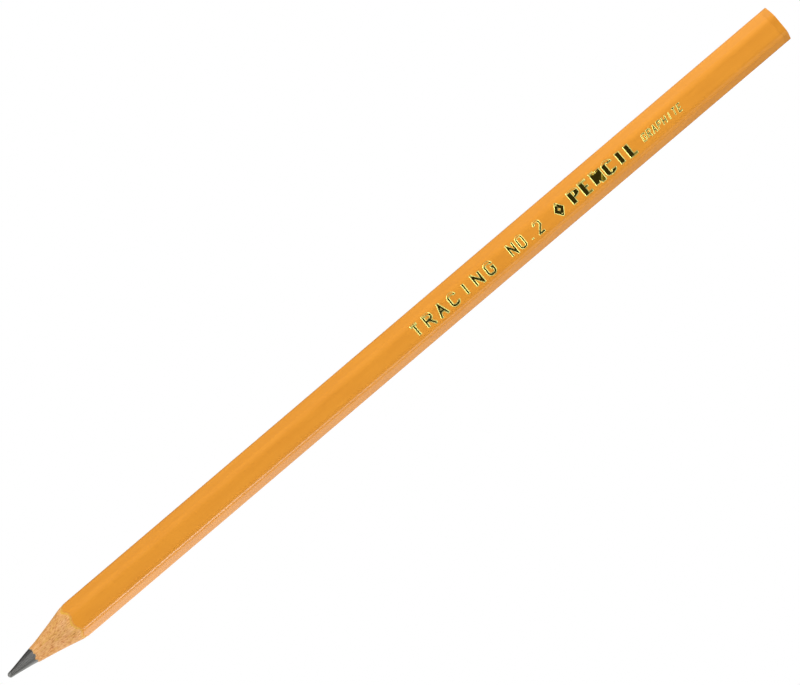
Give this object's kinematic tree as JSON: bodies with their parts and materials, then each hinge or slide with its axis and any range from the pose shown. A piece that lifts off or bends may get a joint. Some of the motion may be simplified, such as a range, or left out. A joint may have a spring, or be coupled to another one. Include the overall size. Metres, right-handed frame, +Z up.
{
  "type": "graphite pencil",
  "caption": "Hexagonal wood-cased graphite pencil in orange lacquer, sharpened, with a dipped butt and gold foil stampings on one face.",
  "frame": {"origin": "on the surface the pencil lies on, under the middle of its length and width", "axes": "+X from the point to the butt, +Z up through the stamped face, the stamping reads along +X with its tops towards +Y"},
  "size_m": [0.175, 0.007, 0.0065],
  "materials": {
    "graphite": "fired graphite and clay, dull grey with a burnished sheen",
    "cedar": "bare, wheel-cut",
    "white_glue": "dried wood glue",
    "yellow_ground": "lacquer ground coat",
    "orange_lacquer": "glossy colour lacquer",
    "gold_foil": "hot-stamped metal foil"
  },
  "bodies": {
    "root": {"graphite_core": "graphite", "core_bond": "white_glue", "slat_upper": "cedar", "slat_lower": "cedar", "glue_strip_left": "white_glue", "glue_strip_right": "white_glue", "undercoat": "yellow_ground", "colour_coat": "orange_lacquer", "end_dip": "orange_lacquer", "foil_word": "gold_foil", "foil_grade": "gold_foil", "foil_emblem": "gold_foil", "foil_title": "gold_foil", "foil_small": "gold_foil"}
  },
  "joints": []
}
